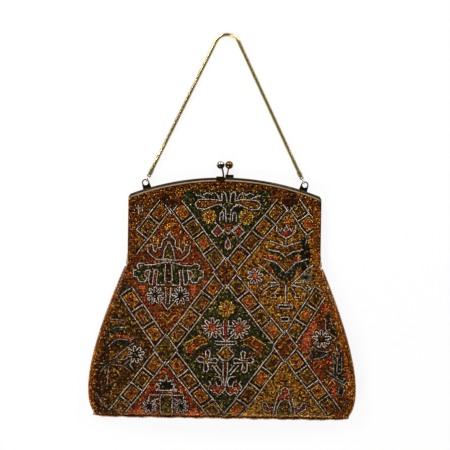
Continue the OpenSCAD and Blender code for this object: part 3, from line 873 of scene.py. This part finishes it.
# Fields are sewn from mixed lots: the colours in each, with their shares.
LOTS = {
    "brown": (("brown", 46), ("umber", 22), ("amber", 18), ("rust", 14)),
    "rust": (("rust", 38), ("brown", 22), ("red", 14), ("umber", 16), ("amber", 10)),
    "ochre": (("ochre", 46), ("gold", 16), ("umber", 18), ("brown", 20)),
    "moss": (("ochre", 10), ("brown", 30), ("olive", 22), ("umber", 38)),
    "green": (("green", 46), ("dark", 34), ("olive", 14), ("gold", 6)),
    "madder": (("red", 28), ("rust", 34), ("brown", 20), ("umber", 10), ("coral", 8)),
    "red": (("red", 64), ("coral", 20), ("rust", 16)),
    "border": (("amber", 52), ("orange", 12), ("brown", 36)),
    "gold": (("ochre", 34), ("gold", 26), ("brown", 24), ("umber", 16)),
    "amber": (("amber", 52), ("brown", 34), ("umber", 14)),
    "orange": (("orange", 60), ("rust", 25), ("amber", 15)),
    "olive": (("olive", 62), ("umber", 20), ("ochre", 18)),
    "rust_dark": (("rust_dark", 70), ("umber", 20), ("brown", 10)),
    "coral": (("coral", 56), ("red", 24), ("rust", 20)),
    "umber": (("umber", 60), ("rust_dark", 25), ("brown", 15)),
    "slate_dark": (("slate_dark", 55), ("dark", 30), ("green", 15)),
}

# The bead lattice: its lines, the number of squares on each, and the first square's colour.
A, B, C, D = (1.5, -7.6), (-48.5, -74), (53.2, -69.5), (2.5, -138.5)
E, F, G, H = (-96.5, -137), (101.2, -133.5), (-46.1, 56), (55, 58)
EDGE_L, EDGE_R, RIM_L, RIM_R = (-99, -4.5), (97, -1.2), (-95, -8.5), (97.5, 0.5)
LATTICE = (
    (A, B, 4, "orange"),
    (A, C, 4, "olive"),
    (B, D, 4, "orange"),
    (C, D, 4, "olive"),
    (B, E, 4, "orange"),
    (C, F, 4, "orange"),
    (A, G, 4, "olive"),
    (A, H, 4, "orange"),
    (B, EDGE_L, 3, "orange"),
    (C, EDGE_R, 3, "olive"),
    (G, RIM_L, 3, "orange"),
    (H, RIM_R, 2, "olive"),
)
FIELDS = (
    ("green", (A, (40, 50), (40, 62), (-36, 62), (-36, 53))),
    ("rust", (G, A, B, (-90, -12))),
    ("ochre", (H, A, C, (92, -6))),
    ("green", (A, B, D, C)),
    ("moss", (B, E, (-112, -100), (-90, -12))),
    ("rust", (C, F, (112, -100), (92, -6))),
    ("madder", (B, E, D)),
    ("gold", (C, D, F)),
)
CROSSINGS = ((A, "brown"), (B, "olive"), (C, "brown"))
# Half-widths of a band, and of a crossing both ways.
BAND_W, CROSS_W, CROSS_H = 6.3, 10.3, 13.5
# Crossings are diamonds, squares are square, and at the rim only a crossing's lower point shows.
DIAMOND = ((-1, 0), (0, 1), (1, 0), (0, -1), (-1, 0))
SQUARE = ((-1, -1), (1, -1), (1, 1), (-1, 1), (-1, -1))
RIM_POINT = ((-5, -7), (0, -CROSS_H), (5, -7))
# A petal of a flower: places along its turn, and their reach.
PETAL = ((-0.5, 0.42), (-0.2, 0.9), (0, 1.0), (0.2, 0.9))
# A side of the lattice has five steps, with squares at the inner ones.
STEPS, HALF_STEP = 5, 0.1
# How much of its step a square takes up, and its heart.
SQUARE_FILL, SQUARE_HEART = 0.62, 0.22
# Plain borders: above the hinge, below it on the left and on the right, and under the rim.
BORDER_TOP, BORDER_LEFT, BORDER_RIGHT, BORDER_RIM = 5.5, 3.5, 5, 8
# A shaded strip beside the left border: its two edges, in from the side, and its top.
SHADE_OUTER, SHADE_INNER, SHADE_TOP = 3.5, 11, -72
# Strings: the beads' pitch, and how far and over what length hand sewing wanders.
STRING_PITCH, WANDER, WANDER_L = 1.25, 0.22, 7
# Beads come off the hank in runs of one colour, apart from a share of loose ones.
RUN_L, LOOSE = 5, 0.45


def in_outline(x, y, outline):
    """Which places lie inside an outline, by counting the sides that a line from each one crosses."""
    hit = np.zeros(np.shape(x), bool)
    for (x0, y0), (x1, y1) in zip(outline, list(outline[1:]) + [outline[0]]):
        if y0 != y1:
            hit ^= ((y0 > y) != (y1 > y)) & (x < (x1 - x0) * (y - y0) / (y1 - y0) + x0)
    return hit


def lattice_frame(start, end):
    """A lattice line's start and length, and the directions along it and over it."""
    start, end = np.array(start, float), np.array(end, float)
    length = np.hypot(*(end - start))
    along = (end - start) / length
    return start, length, along, np.array([-along[1], along[0]])


def from_lots(names, x, y):
    """Draws each bead from its field's mixed lot, in short runs along a row."""
    row = np.round(y / BEAD_PITCH).astype(int)
    run = np.floor(x / RUN_L + np.sin(y * 9.7) * 3).astype(int)
    # One scrambled number from 0 to 1 for each run of each row.
    luck = np.modf(np.abs(np.sin(row * 12.9898 + run * 78.233)) * 43758.5453)[0]
    luck = np.where(rng.random(x.shape) < LOOSE, rng.random(x.shape), luck)
    drawn = names.copy()
    for field, lot in LOTS.items():
        pick = names == field
        colours, shares = zip(*lot)
        steps = np.cumsum(shares) / sum(shares)
        drawn[pick] = np.array(colours)[np.searchsorted(steps, luck[pick]).clip(0, len(lot) - 1)]
    return drawn


def drawn_motifs():
    """Every motif's line colour, fill and outline in its place, and the other half of a paired one."""
    for axis, rows in FIGURES:
        for stroke, fill, *outlines in rows:
            for outline in outlines:
                paired = axis is not None and any(out for out, _ in outline)
                for side in (1, -1) if paired else (1,):
                    yield stroke, fill, [((axis or 0) + side * out, y) for out, y in outline]


def petal_ring(centre, radius, petals):
    """A flower's outline: round-ended petals with deep notches between them."""
    ring = []
    for k in range(petals):
        for step, reach in PETAL:
            a = math.tau * (k + step) / petals + 0.2
            out = radius * reach
            ring.append((centre[0] + out * math.cos(a), centre[1] + out * math.sin(a)))
    return ring


def in_border(x, y):
    """The plain strip down each side, where the lattice stops."""
    width = np.where(y > 0, BORDER_TOP, np.where(x < 0, BORDER_LEFT, BORDER_RIGHT))
    return np.where(y > 0, TOP_W - 1.5, side_x(y)) - np.abs(x) < width


def bead_names(x, y, motifs):
    """Names each bead's colour from the field, motif and lattice that it lies in."""
    names = np.full(x.shape, "brown", dtype="<U10")
    for colour, outline in FIELDS:
        names[in_outline(x, y, outline)] = colour
    if motifs:
        for _, fill, outline in drawn_motifs():
            if fill:
                names[in_outline(x, y, outline)] = fill
        for centre, radius, petals, _, fill in FLOWERS:
            names[in_outline(x, y, petal_ring(centre, radius, petals))] = fill
    for start, end, squares, first in LATTICE:
        start, length, along, over = lattice_frame(start, end)
        t = (x - start[0]) * along[0] + (y - start[1]) * along[1]
        w = np.abs((x - start[0]) * over[0] + (y - start[1]) * over[1])
        names[(t > 0) & (t < length * (squares / STEPS + HALF_STEP)) & (w < BAND_W)] = "umber"
        for k in range(squares):
            reach = np.maximum(np.abs(t - (k + 1) / STEPS * length) / (HALF_STEP * length), w / BAND_W)
            names[reach < SQUARE_FILL] = "olive" if (first == "olive") != (k % 2 == 1) else "orange"
            names[reach < SQUARE_HEART] = "red" if k % 2 else "rust_dark"
    for (cx, cy), colour in CROSSINGS:
        names[np.abs(x - cx) / CROSS_W + np.abs(y - cy) / CROSS_H < 1] = colour
    border = in_border(x, y)
    names[border & (y < arch_y(x) - BORDER_RIM)] = "border"
    names[border & (x < 0)] = "brown"
    inward = side_x(y) + x
    names[(inward > SHADE_OUTER) & (inward < SHADE_INNER) & (y < SHADE_TOP)] = "umber"
    return from_lots(names, x, y)


def run_length(*axes):
    """Length along a line up to each of its points."""
    return np.concatenate([[0], np.cumsum(np.hypot(*map(np.diff, axes)))])


def strung(outline):
    """Bead places along a drawn line up to the border, wandering as hand sewing does."""
    line = np.array(outline, float)
    run = run_length(*line.T)
    at = np.linspace(0, run[-1], max(2, round(run[-1] / STRING_PITCH) + 1))
    knots = np.arange(0, run[-1] + WANDER_L + 1, WANDER_L)
    wander = [np.interp(at, knots, rng.normal(0, WANDER, len(knots))) for _ in (0, 1)]
    places = np.column_stack([np.interp(at, run, line[:, i]) + wander[i] for i in (0, 1)])
    return places[~in_border(*places.T)]


def bead_lines(motifs):
    """The strung outlines, each with its colour: crossings, lattice bands and squares, then motifs."""
    for (cx, cy), _ in CROSSINGS:
        yield "pale", strung([(cx + CROSS_W * a, cy + CROSS_H * b) for a, b in DIAMOND])
    for cx, cy in (G, H):
        yield "pale", strung([(cx + a, cy + b) for a, b in RIM_POINT])
    for start, end, squares, _ in LATTICE:
        start, length, along, over = lattice_frame(start, end)
        for side in (-1, 1):
            ends = (HALF_STEP, squares / STEPS + HALF_STEP)
            yield "pale", strung([start + along * length * k + over * BAND_W * side for k in ends])
        for k in range(1, squares + (squares < STEPS - 1)):
            mid = start + along * length * (k / STEPS + HALF_STEP)
            yield "pale", strung([mid - over * BAND_W, mid + over * BAND_W])
        ahead = along * length * HALF_STEP * SQUARE_FILL
        aside = over * BAND_W * SQUARE_FILL
        for k in range(squares):
            mid = start + along * length * (k + 1) / STEPS
            yield "brass", strung([mid + ahead * a + aside * b for a, b in SQUARE])
    if not motifs:
        return
    for stroke, _, outline in drawn_motifs():
        if stroke:
            yield stroke, strung(outline)
    for centre, radius, petals, line, _ in FLOWERS:
        ring = petal_ring(centre, radius, petals)
        yield line, strung(ring + ring[:1])


def spaced(points, clear):
    """Keeps each place that lies clear of the places kept before it."""
    tree = kdtree.KDTree(len(points))
    for i, p in enumerate(points):
        tree.insert(p, i)
    tree.balance()
    keep = np.zeros(len(points), bool)
    for i, p in enumerate(points):
        keep[i] = not any(keep[j] for _, j, _ in tree.find_range(p, clear) if j != i)
    return keep


# A bead's radius, a string bead's size beside it, how sizes vary, and the least way between two beads.
BEAD_R, STRING_SIZE, SIZE_SPREAD, BEAD_CLEAR = 0.6, 0.77, 0.05, 0.98
# How far a row shifts along itself, and how far its beads wobble across it.
ROW_SHIFT, ROW_WOBBLE = 0.07, 0.06
# Beads this near to a string are darker; a small share of all beads gets a painted glint, brightened and
# tinted gold in its colour.
SHADOW_REACH, SHADOW, GLINT_SHARE, GLINT_TINT = 1.75, 0.5, 0.09, "#c99a52"
# Beads stay this far under the rim, and a row's end may stray this far. The last row is at ROWS_TOP.
RIM_CLEAR, STRAY, ROWS_TOP = 0.7, 0.2, RIM_TOP - RIM_H - 0.6
# How deep the front's beads sit in its curve, and how high the back's sit over the table.
FRONT_BEADS, BACK_BEADS = 0.55, 0.66
# Rows of the bottom edging: height, place below the seam, share of its sag, and tilt.
EDGING = ((0.75, 0.9, 1, -0.45), (1.9, 1.0, 1, 0.3), (2.8, 0.45, 0.9, 0.9), (3.1, -0.3, 0.5, 2.0))
# Pitches along the bottom edging and the side seam, and the beads round a side strip.
EDGING_PITCH, SEAM_PITCH, SIDE_COLUMNS = 1.2, 1.15, 12


def rows_over(height, edge, low, high):
    """Bead rows over a rounded cloth, a pitch apart along the cloth, not on the flat."""
    fine = np.linspace(low, high, 1500)
    rise = run_length(fine, height(0 * fine, fine))
    rows = []
    for k, y in enumerate(np.interp(np.arange(0, rise[-1], BEAD_PITCH), rise, fine)):
        x = np.linspace(-edge(y), edge(y), 500)
        run = run_length(x, height(x, 0 * x + y))
        at = np.arange(BEAD_PITCH / 2 * (k % 2), run[-1], BEAD_PITCH) + rng.normal(0, ROW_SHIFT)
        place = np.interp(at, run, x)
        rows.append(np.column_stack([place, y + rng.normal(0, ROW_WOBBLE, len(place))]))
    return np.concatenate(rows)


def glass_dome(radius):
    """The half of a bead that stands out of the cloth."""
    bm = bmesh.new()
    bmesh.ops.create_uvsphere(bm, u_segments=6, v_segments=4, radius=radius * MM)
    low = [f for f in bm.faces if f.calc_center_median().z < -0.1 * radius * MM]
    bmesh.ops.delete(bm, geom=low, context="FACES")
    bmesh.ops.scale(bm, vec=(1, 1, 0.9), verts=bm.verts)
    return mesh_from(bm, "glass_dome")


def bead_tints(names, points):
    """Each bead's own shade: mixed lots, darker beside a pale string, and a few with painted glints,
    brightened as if catching a lamp.
    """
    lined = np.isin(names, STRING_COLOURS)
    pale = np.flatnonzero(lined)
    tree = kdtree.KDTree(max(1, len(pale)))
    for i in pale:
        tree.insert(points[i], i)
    tree.balance()
    beside = np.array([(tree.find(p)[2] or 9) < SHADOW_REACH for p in points]) & ~lined
    base = np.array([linear(COLOURS[n][1]) for n in names])
    shade = np.exp(rng.normal(-0.1, 0.45, len(names)))
    warm = 1 + rng.normal(0, 0.06, (len(names), 3))
    tint = base * shade[:, None] * warm * np.where(beside, SHADOW, 1.0)[:, None]
    # Painted glints: a few beads, not string beads, are brightened and tinted gold, standing in for beads
    # that catch a lamp.
    painted_glint = (rng.random(len(names)) < GLINT_SHARE) & ~lined
    tint[painted_glint] = tint[painted_glint] * 1.6 + np.array(linear(GLINT_TINT)) * 0.6
    return np.clip(tint, 0.002, 0.9)


def sew_beads(prefix, points, aim, names, follow, axes=(0, 1)):
    """Sews beads of every colour, one piece to each family of glass."""
    families = np.array([COLOURS[n][0] for n in names])
    tints = bead_tints(names, points)
    size = np.where(np.isin(names, STRING_COLOURS), STRING_SIZE, 1.0)
    size = size + rng.normal(0, SIZE_SPREAD, len(names))
    for family, glass in GLASS.items():
        pick = families == family
        if pick.sum() < 3:
            continue
        name = f"{prefix}_{family}"
        beads = thread_on(name, glass_dome(BEAD_R), points[pick], aim[pick], size[pick], glass, tints[pick])
        flat_map(beads.data, *axes)
        follow(beads)


def beads_over(height, edge, low, motifs):
    """Places and colours of one face's beads: strings first, then rows that fill in between them."""
    flat, names = [], []
    for colour, places in bead_lines(motifs):
        flat.append(places)
        names += [colour] * len(places)
    fill = rows_over(height, edge, FRONT_LOW, ROWS_TOP)
    flat = np.concatenate(flat + [fill])
    names = np.concatenate([names, bead_names(*fill.T, motifs)])
    x, y = flat.T
    inside = (np.abs(x) <= edge(y) + STRAY) & (y >= low) & (y < arch_y(x) - RIM_CLEAR)
    return flat[inside], names[inside]


def make_front_beads():
    def edge(y):
        return np.where(y > 0, TOP_W - 1.0, side_x(y) - 0.5)

    flat, names = beads_over(front_z, edge, FRONT_LOW - 0.1, True)
    points = np.column_stack([flat, under_front(FRONT_BEADS)(*flat.T)])
    keep = spaced(points, BEAD_CLEAR)
    sew_beads("front_beads", points[keep], front_normal(*flat[keep].T), names[keep], follow_hinge)


def make_back_beads():
    flat, names = beads_over(level(0), lambda y: cloth_edge(y) - 0.8, FRONT_LOW, False)
    points = np.column_stack([flat, level(BACK_BEADS)(*flat.T)])
    keep = spaced(points, BEAD_CLEAR)
    aim = np.tile([0.0, 0.0, -1.0], (int(keep.sum()), 1))
    sew_beads("back_beads", points[keep], aim, names[keep], follow_body)


def make_side_beads():
    """Rows round each side strip, and one string along its front seam."""
    for side, word in ((-1, "left"), (1, "right")):
        v = np.arange(-1, 1, 2 * BEAD_PITCH / SIDE_RUN)
        u, v = np.meshgrid(np.linspace(-0.97, 0.97, SIDE_COLUMNS), v)
        u, v = u.ravel(), v.ravel()
        run = np.arange(-4.0, -POUCH_H + 1, -SEAM_PITCH)
        seam = np.column_stack([side * (side_x(run) + 0.25), run, seam_z(run) - 0.2])
        points = np.concatenate([seam, side_place(side, SIDE_BEADS_IN)(u, v)])
        turn = u * math.pi / 2
        outward = np.column_stack([side * np.cos(turn), 0 * u, np.sin(turn)])
        aim = np.concatenate([np.tile([side * 0.25, 0.0, 0.97], (len(run), 1)), outward])
        keep = spaced(points, 1.0)
        names = np.where(rng.random(int(keep.sum())) < 0.75, "amber", "brown")
        sew_beads(f"side_beads_{word}", points[keep], aim[keep], names, follow_body, (1, 2))


def make_bottom_edging():
    """Close rows of beads whipped over the bottom seam."""
    half = FOOT_W / 2 + 0.8
    x = np.arange(-half, half, EDGING_PITCH)
    points, aim = [], []
    for z, low, sag, tilt in EDGING:
        points.append(np.column_stack([x, -POUCH_H - low - sag * bottom_sag(x), 0 * x + z]))
        aim.append(np.column_stack([0 * x, 0 * x - 1, 0 * x + tilt]))
    points, aim = np.concatenate(points), np.concatenate(aim)
    names = from_lots(np.full(len(points), "amber", dtype="<U10"), points[:, 0], points[:, 2] * 7)
    sew_beads("edge_beads", points, aim, names, follow_body, (0, 2))


make_front_beads()
make_back_beads()
make_side_beads()
make_bottom_edging()


# Metal parts keep their CAD shapes and take their finishes here.
def finish_metal():
    finishes = {
        GILT: ("rear_frame", "front_frame", "hinge_rivet_left", "hinge_rivet_right"),
        DARK_BRASS: ("lug_left", "lug_right", "rear_foot", "front_foot"),
        COPPER: ("rear_knob",),
        SILVER: ("front_knob",),
        CHAIN_GOLD: ("ring_left", "ring_right", "chain_end_left", "chain_end_right"),
    }
    for metal, names in finishes.items():
        for name in names:
            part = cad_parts[name]
            part.data.materials.clear()
            part.data.materials.append(metal)


finish_metal()


# Table, surroundings and lamps. Each lamp has its place and size in metres, and its power in watts.
TABLE_W, TABLE_Z = 6, -0.0002
LAMPS = (
    ("key_lamp", (-0.6, 1.02, 0.75), 0.35, 15),
    ("fill_lamp", (0.6, 1.02, 0.75), 0.4, 7.8),
    ("front_lamp", (-0.57, -1.0, 0.8), 0.4, 11),
)


def make_table():
    """Matt white table, seen and mirrored as a plain pale ground that keeps the purse's shadow."""
    mat, tree, shader = new_material("white_table")
    feed(tree, shader, {"Base Color": rgba("#f4f4f4"), "Roughness": 0.9})
    rays = node(tree, "ShaderNodeLightPath", {}).outputs
    seen = rays["Is Camera Ray"]
    for other in ("Is Glossy Ray", "Is Transmission Ray"):
        seen = node(tree, "ShaderNodeMath", {0: seen, 1: rays[other]}, operation="MAXIMUM").outputs[0]
    share = node(tree, "ShaderNodeMath", {0: seen, 1: 0.9}, operation="MULTIPLY").outputs[0]
    glow = node(tree, "ShaderNodeEmission", {"Strength": 1.0}).outputs[0]
    both = node(tree, "ShaderNodeMixShader", {0: share, 1: shader.outputs[0], 2: glow})
    feed(tree, tree.nodes["Material Output"], {"Surface": both.outputs[0]})
    bm = bmesh.new()
    bmesh.ops.create_grid(bm, x_segments=2, y_segments=2, size=TABLE_W / 2)
    table = make_object("table", mesh_from(bm, "table"), mat, smooth=False)
    table.location.z = TABLE_Z
    table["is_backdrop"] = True


def make_surroundings():
    """Pale walls all round and a dimmer ceiling, which the metal shows as bright edges and a dark middle."""
    world = bpy.data.worlds.new("studio")
    world.use_nodes = True
    tree = world.node_tree
    place = node(tree, "ShaderNodeTexCoord", {})
    split = node(tree, "ShaderNodeSeparateXYZ", {"Vector": place.outputs["Generated"]})
    dim = node(
        tree,
        "ShaderNodeMapRange",
        {"Value": split.outputs["Z"], "From Min": 0.7, "From Max": 0.94, "To Min": 0.3, "To Max": 0.02},
    ).outputs["Result"]
    seen = node(tree, "ShaderNodeLightPath", {}).outputs["Is Camera Ray"]
    strength = node(tree, "ShaderNodeMath", {0: dim, 1: seen}, operation="MAXIMUM").outputs[0]
    feed(tree, tree.nodes["Background"], {"Strength": strength, "Color": (1, 1, 1, 1)})
    bpy.context.scene.world = world


def make_lamps():
    """Soft lamps, each turned towards the purse's middle."""
    for name, spot, size, power in LAMPS:
        data = bpy.data.lights.new(name, "AREA")
        data.size = size
        data.energy = power
        lamp = bpy.data.objects.new(name, data)
        lamp.location = spot
        x, y, z = spot
        lamp.rotation_euler = (math.atan2(math.hypot(x, y), z), 0, math.atan2(x, -y))
        bpy.context.scene.collection.objects.link(lamp)


make_table()
make_surroundings()
make_lamps()

[[list(map(float, corner)) for corner in box] for box in (cad_box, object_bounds())]
